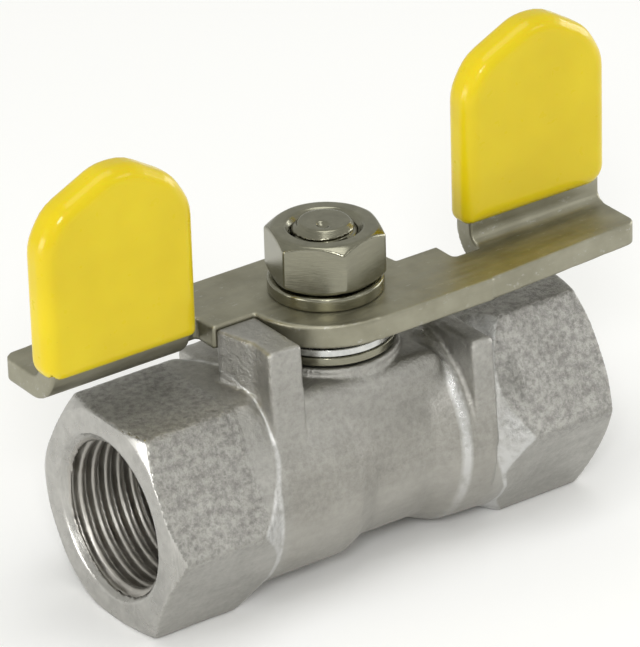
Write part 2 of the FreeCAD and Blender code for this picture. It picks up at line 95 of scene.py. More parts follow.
# ---- casting sizes, as in the CAD except where a comment says otherwise ---------------------
CORNER_CHAMFER = 1.1
HEX_INNER = {-1: (20.3, 16.6, 13.5), 1: (19.7, 17.6, 14.1)}   # corner stop, shoulder, radius
HEX_ROOT = 12.0                    # each hexagon runs in this far, inside the barrel
CORNER_REACH = {-1: 3.0, 1: 0.0}   # how much further in the top corners run; not in the CAD
REACH_FROM_Z, REACH_FULL_Z = 4, 13
BARREL_END = 22.0
BARREL = [(-23.0, 13.3), (-16.6, 13.5), (-4.9, 13.5), (-1.6, 12.2), (7.0, 12.2), (9.4, 13.2),
          (10.8, 13.75), (17.6, 14.1), (23.0, 13.6)]
DIP = [(-23.0, 0.0), (15.0, 0.0), (15.3, 1.45), (19.0, 1.45), (20.0, 0.0), (23.0, 0.0)]
DIP_FULL_Z, DIP_GONE_Z = -1.0, -7.5    # the dip beside the rib fades out below; not in the CAD
PAD_SIDE, PAD_END, PAD_TOP = 10.0, 10.4, 12.9
BOSS_R, BOSS_TOP = 8.8, 14.0
LUG_SIDE, LUG_TOP = 10.2, 13.4
RIB_START, RIB_END, RIB_TOP = 12.2, 15.4, 14.2
RIB_TOP_SIDE, RIB_ROOT_SIDE = 12.9, 14.05   # 13.4 all the way down in the CAD
POST_DRAFT = 0.075                          # none in the CAD
POST_INNER_X, POST_BACK_Y = -10.85, -0.6
LUG_OUTER_X = -15.2
POST_FRONT_X, POST_WAIST_X, POST_WAIST_Y, POST_BACK_X = -15.4, -15.0, -6.6, -16.6
POST_TOP = 20.4

THREAD_MINOR_R, THREAD_MAJOR_R = 9.3155, 10.4775
THREAD_PITCH = 25.4 / 14
THREAD_END = 18.5
THREAD_RUN_OUT = 1.6
MOUTH_DEPTH, MOUTH_OVERSIZE = 1.3, 0.15
NECK_FUNNEL = 3.0
WATERWAY_R = 4.6
CAVITY_R, SEAT_R, SEAT_BACK, POCKET_FRONT = 8.35, 7.4, 8.4, 6.0
BALL_R, BALL_ROOM = 8.0, 0.4
RETAINER_HOLE_R, RETAINER_HOLE_END = 9.02, -9.8
STEM_R, STEM_HOLE_R = 4.75, 4.81
COLLAR_BOTTOM, COLLAR_TOP, COLLAR_GAP = 8.2, 9.4, 0.1
STEM_HOLE_BOTTOM = 10.0
PACKING_BOTTOM, PACKING_R = 11.8, 6.9

PLATE_T = 3.0
PLATE_TOP = PLATE_BOTTOM + PLATE_T
ARM_INNER, ARM_TIP_OUTER = 0.45, 9.2
NOTCH_START, WING_START = 16.8, 20.6
BEND_INNER_R = 1.6
ARM_TIP_ROUNDING = 1.4
STEM_FLATS, HOLE_GAP = 8.0, 0.03
TANG_T, TANG_R = 3.0, 4.1
FLATS_BOTTOM = 17.2
GROOVE_R, GROOVE_BOTTOM, GROOVE_TOP = 3.72, 10.3, 11.5
M8_R, M8_PITCH, M8_DEPTH = 3.96, 1.25, 0.68
STEM_END_CHAMFER = 0.95                     # 0.65 in the CAD
NUT_TURN = math.radians(13)
NUT_FLAT_R = 6.5
NUT_CORNER_R = NUT_FLAT_R * 2 / math.sqrt(3)
NUT_CHAMFER, NUT_FACE_INSET = 0.85, 0.25
NUT_HOLE_R, NUT_THREAD_DEPTH = 4.0, 0.3
NUT_SINK_R, NUT_SINK_DEPTH = 4.8, 0.8
LOCK_WASHER_INNER_R = 4.1
LOCK_WASHER_SPLIT, LOCK_WASHER_RISE = 0.7, 0.10
LOCK_WASHER_SPLIT_AT = math.radians(100)
GLAND_NOSE_GAP, GLAND_FLANGE_GAP = 0.1, 0.2
DISC_CONE = 0.25

# ---- roundings and the mesher's grid -------------------------------------------------------
CAST_EDGE = 0.25              # edges of the hexagons' chamfers and cones
CAST_CORNER = 0.45            # corners along the hexagons, top of the post
SHEET_EDGE = 0.28             # edges of the handle's outline
TURNED_EDGE = 0.2
JOINS = {"pad": 0.9, "rib": 0.3, "lug": 0.45, "post": 0.6, "hexagon": 0.25}   # fillets to the barrel
MARGIN = 0.7                  # how far a grid runs past its piece


# ---- distance fields ----------------------------------------------------------------------
def join(a, b, radius):
    """Union of two solids with a fillet where they meet."""
    corner = np.hypot(np.maximum(radius - a, 0), np.maximum(radius - b, 0))
    return np.maximum(radius, np.minimum(a, b)) - corner


def meet(a, b, radius):
    """What two solids share, with a rounded edge where their faces meet."""
    corner = np.hypot(np.maximum(radius + a, 0), np.maximum(radius + b, 0))
    return np.minimum(-radius, np.maximum(a, b)) + corner


def cut(a, b, radius=0.08):
    """The first solid with the second taken out, its new edges just broken."""
    return meet(a, -b, radius)


def cone(x, r, x0, r0, x1, r1):
    """Distance outside the cone through two (x, radius) points."""
    run, rise = x1 - x0, r1 - r0
    return ((r - r0) * abs(run) - (x - x0) * math.copysign(rise, rise * run)) / math.hypot(run, rise)


def hexagon(a, b, flat_r, radius, turn=0.0):
    """Hexagon prism with flats facing plus and minus b when it isn't turned."""
    bars = []
    for k in range(3):
        angle = turn + math.pi / 2 + k * math.pi / 3
        bars.append(np.abs(a * math.cos(angle) + b * math.sin(angle)) - flat_r)
    return meet(meet(bars[0], bars[1], radius), bars[2], radius)


def rounded(corners):
    """Points of a closed outline from (u, v, radius) corners, each turned into an arc."""
    outline = []
    for k, (u, v, radius) in enumerate(corners):
        here = Vector((u, v))
        before = (Vector(corners[k - 1][:2]) - here).normalized()
        after = (Vector(corners[(k + 1) % len(corners)][:2]) - here).normalized()
        half = before.angle(after) / 2
        centre = here + (before + after).normalized() * (radius / math.sin(half))
        start = here + before * (radius / math.tan(half)) - centre
        end = here + after * (radius / math.tan(half)) - centre
        steps = max(3, int(math.degrees(math.pi - 2 * half) / 9))
        outline += [centre + start.slerp(end, step / steps) * radius for step in range(steps + 1)]
    return np.array([tuple(p) for p in outline])


def from_outline(u, v, outline):
    """Distance to a closed outline, negative inside it."""
    nearest, inside = 1e9, False
    for (u0, v0), (u1, v1) in zip(outline, np.roll(outline, -1, axis=0)):
        du, dv = u1 - u0, v1 - v0
        along = np.clip(((u - u0) * du + (v - v0) * dv) / (du * du + dv * dv), 0, 1)
        nearest = np.minimum(nearest, (u - u0 - along * du) ** 2 + (v - v0 - along * dv) ** 2)
        if dv:
            crossed = ((v0 > v) != (v1 > v)) & (u < (v - v0) * du / dv + u0)
            inside = inside ^ crossed
    return np.sqrt(nearest) * np.where(inside, -1.0, 1.0)


def between(v, low, high):
    """Slab from low to high."""
    return np.abs(v - (low + high) / 2) - (high - low) / 2


def screw(phase, crest, root):
    """Thread form from 0 on the crest to 1 in the root, both flattened a little."""
    saw = np.abs(2 * (phase - np.floor(phase)) - 1)
    t = np.clip((saw - crest) / (1 - crest - root), 0, 1)
    return t * t * (3 - 2 * t)


def eased_profile(points, soft):
    """A table of the profile with its corners eased, for np.interp."""
    xs = np.linspace(points[0][0], points[-1][0], 900)
    rs = np.interp(xs, [p[0] for p in points], [p[1] for p in points])
    reach = np.arange(-3 * soft, 3 * soft, xs[1] - xs[0])
    weights = np.exp(-(reach / soft) ** 2)
    padded = np.pad(rs, len(reach) // 2, mode="edge")
    return xs, np.convolve(padded, weights / weights.sum(), mode="same")[len(reach) // 2:][:len(xs)]


BARREL_X, BARREL_R = eased_profile(BARREL, 0.22)
DIP_X, DIP_DEPTH = eased_profile(DIP, 0.1)
POST_OUTLINE = rounded([
    (POST_INNER_X, -LUG_SIDE, 0.35), (POST_FRONT_X, -LUG_SIDE, 0.8), (POST_WAIST_X, POST_WAIST_Y, 2.0),
    (POST_BACK_X, POST_BACK_Y, 0.35), (POST_INNER_X, POST_BACK_Y, 0.35)])


# ---- mesher -------------------------------------------------------------------------------
def slope_of(field, points):
    """Value and gradient of a field at points."""
    reach = 0.01
    x, y, z = points.T
    value = field(x, y, z)
    gradient = np.empty_like(points)
    for axis in range(3):
        ahead, behind = points.copy(), points.copy()
        ahead[:, axis] += reach
        behind[:, axis] -= reach
        gradient[:, axis] = (field(*ahead.T) - field(*behind.T)) / (2 * reach)
    return value, gradient


def surface(field, axes, passes=4):
    """Points and quads of the field's zero surface, one point per grid cell that it crosses."""
    grid = np.meshgrid(*axes, indexing="ij", sparse=True)
    d = np.ascontiguousarray(np.broadcast_to(field(*grid), [len(a) for a in axes]), dtype=np.float32)
    inside = d < 0
    cells = np.array(d.shape) - 1
    stride = np.array([cells[1] * cells[2], cells[2], 1])
    crossings, quads = [], []
    for a in range(3):
        low = [slice(None)] * 3
        high = [slice(None)] * 3
        low[a], high[a] = slice(0, -1), slice(1, None)
        low, high = tuple(low), tuple(high)
        at = np.argwhere(inside[low] != inside[high])
        start, end = d[low][tuple(at.T)], d[high][tuple(at.T)]
        point = np.stack([axes[k][at[:, k]] for k in range(3)], 1)
        point[:, a] += start / (start - end) * (axes[a][at[:, a] + 1] - axes[a][at[:, a]])
        b, c = (a + 1) % 3, (a + 2) % 3
        ring = []
        for step_b, step_c in ((-1, -1), (0, -1), (0, 0), (-1, 0)):
            cell = at.copy()
            cell[:, b] += step_b
            cell[:, c] += step_c
            ring.append(cell @ stride)
        quad = np.stack(ring, 1)
        backwards = start > 0
        quad[backwards] = quad[backwards, ::-1]
        quads.append(quad)
        crossings.append(point)
    quads, crossings = np.concatenate(quads), np.concatenate(crossings)
    used, quads = np.unique(quads, return_inverse=True)
    quads = quads.reshape(-1, 4)
    count = np.bincount(quads.ravel(), minlength=len(used))
    points = np.stack([np.bincount(quads.ravel(), np.repeat(crossings[:, k], 4), len(used)) / count
                       for k in range(3)], 1)
    limit = 0.6 * max(np.diff(a).max() for a in axes)
    for _ in range(passes):
        value, gradient = slope_of(field, points)
        push = -gradient * (value / np.maximum((gradient ** 2).sum(1), 0.05))[:, None]
        length = np.linalg.norm(push, axis=1)
        points += push * np.minimum(1, limit / np.maximum(length, 1e-9))[:, None]
    return points, quads


def grid_axis(*stretches):
    """Grid lines from (start, end, step) stretches that follow on each other."""
    lines = [np.arange(start, end - step / 2, step) for start, end, step in stretches]
    return np.concatenate(lines + [[stretches[-1][1]]])


def mesh_object(name, points, faces, materials, pick=None):
    """A smooth mesh object from millimetres in the pipe frame; pick gives each face its material."""
    mesh = bpy.data.meshes.new(name)
    placed = (np.asarray(points, float) + (0, 0, PIPE_Z)) * MM
    mesh.from_pydata(placed.tolist(), [], np.asarray(faces).tolist())
    for material in materials:
        mesh.materials.append(material)
    if pick is not None:
        centres = np.asarray(points)[np.asarray(faces)].mean(1)
        mesh.polygons.foreach_set("material_index", pick(centres).astype(np.int32))
    mesh.shade_smooth()
    mesh.validate()
    made = bpy.data.objects.new(name, mesh)
    bpy.context.scene.collection.objects.link(made)
    return made


def place(piece, body, node):
    """Ride a piece on its body in place of its CAD node."""
    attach(piece, body)
    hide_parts(node)


# ---- materials ----------------------------------------------------------------------------
class Look:
    """A material's node tree with one Principled shader and short ways to add nodes to it."""

    def __init__(self, name, **constants):
        self.material = bpy.data.materials.new(name)
        self.material.use_nodes = True
        self.tree = self.material.node_tree
        self.tree.nodes.clear()
        self.shader = self.tree.nodes.new("ShaderNodeBsdfPrincipled")
        output = self.tree.nodes.new("ShaderNodeOutputMaterial")
        self.tree.links.new(self.shader.outputs[0], output.inputs[0])
        for socket, value in constants.items():
            self.shader.inputs[socket.replace("_", " ")].default_value = value
        self.where = self.add("ShaderNodeTexCoord").outputs["Object"]

    def add(self, kind, settings=(), **inputs):
        """A node with its settings, and its inputs given as values or sockets."""
        made = self.tree.nodes.new(kind)
        for key, value in dict(settings).items():
            setattr(made, key, value)
        for key, value in inputs.items():
            self.feed(made.inputs[key.replace("_", " ")], value)
        return made

    def feed(self, socket, value):
        """Link a socket to another, or give it a value."""
        if isinstance(value, bpy.types.NodeSocket):
            self.tree.links.new(value, socket)
        else:
            socket.default_value = value

    def stretched(self, x, y, z):
        """Object coordinates stretched by a factor along each axis."""
        return self.add("ShaderNodeMapping", Vector=self.where, Scale=(x, y, z)).outputs[0]

    def noise(self, size_mm, detail=3.0, roughness=0.55, vector=None):
        """Noise whose blots are about size_mm across."""
        made = self.add("ShaderNodeTexNoise", Vector=vector or self.where, Scale=1 / (size_mm * MM),
                        Detail=detail, Roughness=roughness)
        return made.outputs["Fac"]

    def dots(self, size_mm, vector=None):
        """Distance to the middle of the nearest of many scattered dots."""
        made = self.add("ShaderNodeTexVoronoi", Vector=vector or self.where, Scale=1 / (size_mm * MM))
        return made.outputs["Distance"]

    def ramp(self, value, *stops):
        """Colours, or greys given as numbers, along a value."""
        made = self.add("ShaderNodeValToRGB", Fac=value)
        stack = made.color_ramp.elements
        while len(stack) < len(stops):
            stack.new(0.5)
        for element, (position, colour) in zip(stack, stops):
            element.position = position
            element.color = colour if hasattr(colour, "__len__") else (colour, colour, colour, 1)
        return made.outputs["Color"]

    def steps(self, value, low, at_low, high, at_high):
        """A number that goes evenly from at_low to at_high as the value goes from low to high."""
        made = self.add("ShaderNodeMapRange", Value=value)
        limits = {"From Min": low, "From Max": high, "To Min": at_low, "To Max": at_high}
        for key, number in limits.items():
            made.inputs[key].default_value = number
        return made.outputs["Result"]

    def near(self, value, middle, full, none):
        """1 within full of the middle, falling to 0 at none."""
        away = self.math("ABSOLUTE", self.math("SUBTRACT", value, middle))
        return self.steps(away, full, 1.0, none, 0.0)

    def mix(self, kind, amount, a, b):
        """Blend two colours."""
        made = self.tree.nodes.new("ShaderNodeMix")
        made.data_type = "RGBA"
        made.blend_type = kind
        self.feed(made.inputs[0], amount)
        self.feed(made.inputs[6], a)
        self.feed(made.inputs[7], b)
        return made.outputs[2]

    def math(self, operation, a, b=0.0):
        """One sum on two values."""
        made = self.add("ShaderNodeMath", {"operation": operation})
        self.feed(made.inputs[0], a)
        self.feed(made.inputs[1], b)
        return made.outputs[0]

    def bump(self, height, depth_mm, normal=None, strength=1.0):
        """Bump of a given depth over another normal."""
        made = self.add("ShaderNodeBump", Height=height, Distance=depth_mm * MM, Strength=strength)
        if normal is not None:
            self.feed(made.inputs["Normal"], normal)
        return made.outputs[0]

    def finish(self, **links):
        """Feed the shader's own sockets."""
        for socket, value in links.items():
            self.feed(self.shader.inputs[socket.replace("_", " ")], value)
        return self.material


def rgb(red, green, blue):
    return (red, green, blue, 1.0)


def cast_steel():
    """Blasted stainless casting, grainy on the hexagons' upper flats, smoother on the barrel and
    below the equator; on the inner cones and along the waist's right step smoother and painted lighter,
    a painted highlight."""
    look = Look("blasted_casting", Metallic=1.0)
    split = look.add("ShaderNodeSeparateXYZ", Vector=look.where)
    x, y = (look.math("DIVIDE", split.outputs[k], MM) for k in ("X", "Y"))
    z = look.math("SUBTRACT", look.math("DIVIDE", split.outputs["Z"], MM), PIPE_Z)
    r_squared = look.math("ADD", look.math("MULTIPLY", y, y), look.math("MULTIPLY", z, z))
    r = look.math("SQRT", r_squared)

    upper = look.steps(z, -2.0, 0.25, 1.0, 1.0)
    on_outlet, on_inlet = look.steps(x, 16.4, 0.4, 17.4, 1.0), look.steps(x, -19.4, 1.0, -18.9, 0.4)
    on_ends = look.math("MAXIMUM", on_outlet, on_inlet)
    grainy = look.math("MULTIPLY", upper, on_ends)

    # painted highlight: the inner cones and a band along the waist's right step get a lighter base
    # colour as well as a lower roughness, weaker lower down
    rubbed_and_highlit = look.math("MULTIPLY", look.near(x, 10.7, 0.3, 0.9), look.steps(z, -9.0, 0.25, 2.0, 1.0))
    for side, (corner_stop, shoulder, shoulder_r) in HEX_INNER.items():
        reach_in = look.steps(z, REACH_FROM_Z, 0.0, REACH_FULL_Z, CORNER_REACH[side])
        u = look.math("ADD", look.math("MULTIPLY", x, side), reach_in)
        run, rise = corner_stop - shoulder, HEX_R - shoulder_r
        length = math.hypot(run, rise)
        outward = look.math("MULTIPLY", look.math("SUBTRACT", r, shoulder_r), run / length)
        inward = look.math("MULTIPLY", look.math("SUBTRACT", u, shoulder), rise / length)
        facet = look.near(look.math("SUBTRACT", outward, inward), 0.0, 0.08, 0.22)
        rubbed_and_highlit = look.math("MAXIMUM", rubbed_and_highlit, look.math("MULTIPLY", facet, 0.8))
    rubbed_and_highlit = look.math("MULTIPLY", rubbed_and_highlit, look.steps(r, 15.6, 1.0, 15.9, 0.0))
    worn_and_highlit_patches = look.ramp(look.noise(1.6, 4.0, 0.6), (0.34, 0.35), (0.56, 1.0))
    rubbed_and_highlit = look.math("MULTIPLY", rubbed_and_highlit, worn_and_highlit_patches)

    clouds = look.noise(6.0, 2.0)
    grain = look.noise(0.8, 5.0, 0.78)
    coarse = look.noise(1.6, 4.0, 0.6)
    streaks = look.noise(1.5, 3.0, 0.6, look.stretched(0.12, 1.0, 1.0))
    pits = look.ramp(look.dots(0.85), (0.06, 0.0), (0.30, 1.0))
    where_pitted = look.ramp(look.noise(2.2, 3.0), (0.50, 0.0), (0.66, 0.8))
    pitting = look.mix("MIX", where_pitted, (1, 1, 1, 1), pits)
    tone = look.ramp(clouds, (0.30, rgb(0.415, 0.406, 0.378)), (0.70, rgb(0.485, 0.476, 0.446)))
    lined = look.mix("MULTIPLY", 0.22, tone, look.ramp(streaks, (0.32, 0.6), (0.68, 1.0)))
    speckles = look.ramp(grain, (0.38, 0.35), (0.60, 1.0))
    speckled = look.mix("MULTIPLY", look.math("MULTIPLY", grainy, 0.6), lined, speckles)
    skin = look.mix("MULTIPLY", look.math("MULTIPLY", grainy, 0.4), speckled, pitting)
    # painted shade: the middle of the barrel is darkened by up to a tenth, fully below z 4 and fading to
    # a fifth of that by z 10
    barrel = look.math("MULTIPLY", look.near(x, 0.0, 14.5, 17.0), look.steps(z, 4.0, 1.0, 10.0, 0.2))
    skin = look.mix("MULTIPLY", barrel, skin, rgb(0.90, 0.89, 0.87))
    # the lighter grey mixed in here is a painted highlight on the smoother facets
    colour = look.mix("MIX", rubbed_and_highlit, skin, rgb(0.66, 0.66, 0.65))
    rough = look.mix("MIX", rubbed_and_highlit, look.ramp(coarse, (0.32, 0.50), (0.68, 0.36)), rgb(0.26, 0.26, 0.26))
    relief = look.bump(coarse, 0.07, look.bump(clouds, 0.08))
    grains = look.math("MULTIPLY", grain, grainy)
    pits_here = look.mix("MIX", grainy, (1, 1, 1, 1), pitting)
    relief = look.bump(pits_here, 0.05, look.bump(grains, 0.32, relief))
    return look.finish(Base_Color=colour, Roughness=rough, Normal=relief)


def turned_steel(name, tone, rough, axis):
    """Machined stainless with fine marks turned about the pipe (0) or the stem (2)."""
    look = Look(name, Metallic=1.0)
    squash = [1.0, 1.0, 1.0]
    squash[axis] = 14.0
    marks = look.noise(1.4, 3.0, 0.6, look.stretched(*squash))
    wear = look.noise(3.0, 4.0, 0.6)
    dark = [0.72 * c for c in tone]
    colour = look.ramp(look.mix("MIX", 0.5, marks, wear), (0.32, rgb(*dark)), (0.66, rgb(*tone)))
    shine = look.ramp(wear, (0.30, rough * 0.75), (0.70, rough * 1.35))
    return look.finish(Base_Color=colour, Roughness=shine, Normal=look.bump(marks, 0.012))


def sheet_steel():
    """Stamped stainless sheet: satin rolling grain along the handle, with faint scuffs."""
    look = Look("stamped_sheet", Metallic=1.0)
    rolling = look.noise(1.2, 4.0, 0.65, look.stretched(0.12, 1.0, 1.0))
    blotch = look.noise(5.0, 3.0, 0.6)
    scratches = look.noise(0.9, 5.0, 0.75, look.stretched(0.5, 1.4, 1.0))
    scuffs = look.ramp(scratches, (0.60, 0.0), (0.72, 1.0))
    tone = look.ramp(blotch, (0.30, rgb(0.305, 0.292, 0.22)), (0.72, rgb(0.40, 0.385, 0.30)))
    lined = look.mix("MULTIPLY", 0.35, tone, look.ramp(rolling, (0.30, 0.6), (0.70, 1.0)))
    colour = look.mix("MIX", scuffs, lined, rgb(0.50, 0.49, 0.45))
    rough = look.ramp(rolling, (0.30, 0.38), (0.70, 0.54))
    relief = look.bump(rolling, 0.02, look.bump(blotch, 0.05))
    return look.finish(Base_Color=colour, Roughness=rough, Normal=relief)


def spring_steel():
    """Bright hard washer steel with light edge scuffs."""
    look = Look("bright_spring_steel", Metallic=1.0)
    wear = look.noise(1.1, 4.0, 0.65)
    colour = look.ramp(wear, (0.30, rgb(0.52, 0.53, 0.52)), (0.70, rgb(0.72, 0.72, 0.70)))
    return look.finish(Base_Color=colour, Roughness=look.ramp(wear, (0.3, 0.16), (0.7, 0.32)),
                       Normal=look.bump(wear, 0.012))


def dipped_vinyl():
    """Thick glossy yellow vinyl with the slight sag and orange peel of a dipped coat."""
    look = Look("dipped_vinyl", Coat_Weight=0.45, Coat_Roughness=0.12, Specular_IOR_Level=0.15,
                Subsurface_Weight=0.10, Subsurface_Scale=0.002)
    clouds = look.noise(9.0, 2.0)
    peel = look.noise(1.3, 2.0, 0.5)
    specks = look.ramp(look.dots(1.9), (0.02, 0.0), (0.06, 1.0))
    tone = look.ramp(clouds, (0.30, rgb(0.65, 0.49, 0.003)), (0.70, rgb(0.71, 0.55, 0.005)))
    colour = look.mix("MULTIPLY", 0.12, tone, specks)
    rough = look.ramp(peel, (0.30, 0.27), (0.70, 0.38))
    relief = look.bump(peel, 0.02, look.bump(clouds, 0.25))
    return look.finish(Base_Color=colour, Roughness=rough, Normal=relief)


def waxy_ptfe():
    """White PTFE with faint skiving marks."""
    look = Look("waxy_ptfe", Subsurface_Weight=0.2, Subsurface_Scale=0.001)
    marks = look.noise(0.8, 3.0, 0.6, look.stretched(1.0, 1.0, 5.0))
    colour = look.ramp(marks, (0.30, rgb(0.78, 0.78, 0.75)), (0.70, rgb(0.88, 0.88, 0.86)))
    return look.finish(Base_Color=colour, Roughness=look.ramp(marks, (0.3, 0.42), (0.7, 0.58)),
                       Normal=look.bump(marks, 0.01))


def seal_rubber():
    """Black seal rubber with a dusty bloom."""
    look = Look("seal_rubber")
    bloom = look.noise(0.7, 4.0, 0.6)
    colour = look.ramp(bloom, (0.35, rgb(0.012, 0.012, 0.012)), (0.75, rgb(0.04, 0.04, 0.042)))
    return look.finish(Base_Color=colour, Roughness=look.ramp(bloom, (0.3, 0.4), (0.7, 0.65)),
                       Normal=look.bump(bloom, 0.01))


def polished_steel():
    """Lapped ball with hair-fine scratches."""
    look = Look("polished_ball", Metallic=1.0)
    hair = look.noise(0.6, 5.0, 0.7, look.stretched(0.2, 2.0, 2.0))
    colour = look.ramp(hair, (0.30, rgb(0.66, 0.66, 0.65)), (0.70, rgb(0.76, 0.76, 0.75)))
    return look.finish(Base_Color=colour, Roughness=look.ramp(hair, (0.3, 0.07), (0.7, 0.16)),
                       Normal=look.bump(hair, 0.004))


def floor_paint():
    """Matt pale studio floor."""
    look = Look("studio_floor", Base_Color=rgb(0.97, 0.97, 0.97), Roughness=0.9)
    return look.finish()


CAST = cast_steel()
TURNED_PIPE = turned_steel("turned_about_pipe", (0.52, 0.51, 0.48), 0.28, 0)
BORED = turned_steel("bored_and_threaded", (0.52, 0.50, 0.46), 0.42, 0)
TURNED_STEM = turned_steel("turned_about_stem", (0.30, 0.291, 0.222), 0.20, 2)
SHEET = sheet_steel()
SPRING = spring_steel()
VINYL = dipped_vinyl()
PTFE = waxy_ptfe()
RUBBER = seal_rubber()
POLISHED = polished_steel()


# ---- casting ------------------------------------------------------------------------------
def end_hexagon(side, x, y, z, r):
    """One wrench hexagon with its chamfer, soft corners and inner cone."""
    u = side * x
    corner_stop, shoulder, shoulder_r = HEX_INNER[side]
    solid = hexagon(y, z, FLAT_R, CAST_CORNER)
    chamfer = cone(u, r, HALF_LENGTH, FLAT_R, HALF_LENGTH - CORNER_CHAMFER, HEX_R)
    solid = meet(solid, chamfer, CAST_EDGE)
    up = np.clip((z - REACH_FROM_Z) / (REACH_FULL_Z - REACH_FROM_Z), 0, 1)
    inner_cone = cone(u + CORNER_REACH[side] * up, r, corner_stop, HEX_R, shoulder, shoulder_r)
    solid = meet(solid, inner_cone, CAST_EDGE)
    return np.maximum(meet(solid, u - HALF_LENGTH, 0.15), HEX_ROOT - u)


def stop_post(x, y, z):
    """Tall stop post, its outer face running slightly in and then out again."""
    leaned = y + POST_DRAFT * np.maximum(POST_TOP - z, 0) * (y < POST_WAIST_Y)
    plan = from_outline(x, leaned, POST_OUTLINE)
    return np.maximum(meet(plan, z - POST_TOP, CAST_CORNER), -z)


def low_lug(x, y, z):
    """Low lug behind the post, with a soft rounded top."""
    plan = meet(between(x, LUG_OUTER_X, POST_INNER_X), y - LUG_SIDE, 0.8)
    return np.maximum(meet(plan, z - LUG_TOP, 1.0), np.maximum(-z, -y))


def cross_rib(x, y, z):
    """Rib across the casting, its ends leaning out to the barrel's widest line."""
    lean = (RIB_ROOT_SIDE - RIB_TOP_SIDE) / RIB_TOP
    plan = meet(between(x, RIB_START, RIB_END), np.abs(y) - RIB_ROOT_SIDE + lean * z, 0.5)
    return np.maximum(meet(plan, z - RIB_TOP, 0.8), -z)


def stem_pad(x, y, z, from_stem):
    """Flat-sided pad, well rounded along its top, with the round packing boss on it."""
    pad = meet(meet(x - PAD_END, np.abs(y) - PAD_SIDE, 1.5), z - PAD_TOP, 2.4)
    pad = np.maximum(pad, POST_INNER_X - 1 - x)
    boss = meet(from_stem - BOSS_R, z - BOSS_TOP, 0.3)
    return np.maximum(join(pad, boss, 0.35), -z)


def threaded_hole(side, x, r, around):
    """Pipe thread with its countersunk mouth and run-out."""
    u = side * x
    fade = np.clip((u - THREAD_END - 0.4) / THREAD_RUN_OUT, 0, 1)
    depth = (THREAD_MAJOR_R - THREAD_MINOR_R) * screw(x / THREAD_PITCH - around, 0.30, 0.10)
    flank_slope = 0.62
    bore = np.maximum((r - THREAD_MINOR_R - depth * fade) * flank_slope, THREAD_END - u)
    mouth = cone(u, r, HALF_LENGTH - MOUTH_DEPTH, THREAD_MINOR_R, HALF_LENGTH,
                 THREAD_MAJOR_R + MOUTH_OVERSIZE)
    return np.minimum(bore, np.maximum(mouth, HALF_LENGTH - 2 * MOUTH_DEPTH - u))


def bored_out(solid, x, y, z, r, from_stem):
    """The casting with its waterway, cavity, retainer hole and stem hole taken out."""
    around = np.arctan2(z, y) / (2 * math.pi)
    for side in (-1, 1):
        solid = cut(solid, threaded_hole(side, x, r, around), 0.12)
    from_ball = np.hypot(r, x)
    cavity = np.maximum(r - CAVITY_R, between(x, -THREAD_END - 1, POCKET_FRONT))
    cavity = np.minimum(cavity, np.maximum(r - SEAT_R, between(x, 0, SEAT_BACK)))
    cavity = np.minimum(cavity, from_ball - BALL_R - BALL_ROOM)
    retainer = np.maximum(r - RETAINER_HOLE_R, between(x, -THREAD_END - 1, RETAINER_HOLE_END))
    neck = np.maximum(r - WATERWAY_R, between(x, 0, THREAD_END + 1))
    funnel = np.maximum(
        cone(x, r, THREAD_END - NECK_FUNNEL, WATERWAY_R, THREAD_END, THREAD_MINOR_R - 1),
        between(x, THREAD_END - NECK_FUNNEL, THREAD_END + 0.2))
    collar = np.maximum(from_stem - COLLAR_R - COLLAR_GAP, between(z, 0, STEM_HOLE_BOTTOM))
    stem_hole = np.maximum(from_stem - STEM_HOLE_R, -z)
    packing = np.maximum(from_stem - PACKING_R, PACKING_BOTTOM - z)
    holes = cavity
    for hole in (retainer, neck, funnel, collar, stem_hole, packing):
        holes = np.minimum(holes, hole)
    return cut(solid, holes, 0.06)


def casting(x, y, z):
    """Distance field of the whole body casting."""
    r = np.hypot(y, z)
    from_stem = np.hypot(x, y)
    barrel_r = np.interp(x, BARREL_X, BARREL_R)
    upper = np.clip((z - DIP_GONE_Z) / (DIP_FULL_Z - DIP_GONE_Z), 0, 1)
    barrel_r = barrel_r - np.interp(x, DIP_X, DIP_DEPTH) * upper
    barrel = meet(r - barrel_r, np.abs(z) - FLAT_R, 0.5)
    barrel = np.maximum(barrel, np.abs(x) - BARREL_END)
    solid = join(barrel, stem_pad(x, y, z, from_stem), JOINS["pad"])
    solid = join(solid, cross_rib(x, y, z), JOINS["rib"])
    solid = join(solid, low_lug(x, y, z), JOINS["lug"])
    solid = join(solid, stop_post(x, y, z), JOINS["post"])
    for side in (-1, 1):
        solid = join(solid, end_hexagon(side, x, y, z, r), JOINS["hexagon"])
    return bored_out(solid, x, y, z, r, from_stem)


def is_machined(points):
    """True at points on turned, bored or faced stretches of the casting."""
    x, y, z = points.T
    r, from_stem, u = np.hypot(y, z), np.hypot(x, y), np.abs(x)
    chamfer = cone(u, r, HALF_LENGTH, FLAT_R, HALF_LENGTH - CORNER_CHAMFER, HEX_R)
    turned_end = (u > HALF_LENGTH - 0.1) | ((np.abs(chamfer) < 0.06) & (u > HALF_LENGTH - 1.5))
    bored = (r < 10.75) & (u > RETAINER_HOLE_END) & (z < 9.0)
    bored |= (r < 9.1) & (z < 9.0)
    bored |= (from_stem < PACKING_R + 0.15) & (z > 7.5)
    return turned_end | bored


def in_bore(points):
    """True inside the pipe threads and everything behind them."""
    x, y, z = points.T
    return (np.hypot(y, z) < 10.6) & (np.abs(x) < HALF_LENGTH - 0.7) & (z < 9.0)


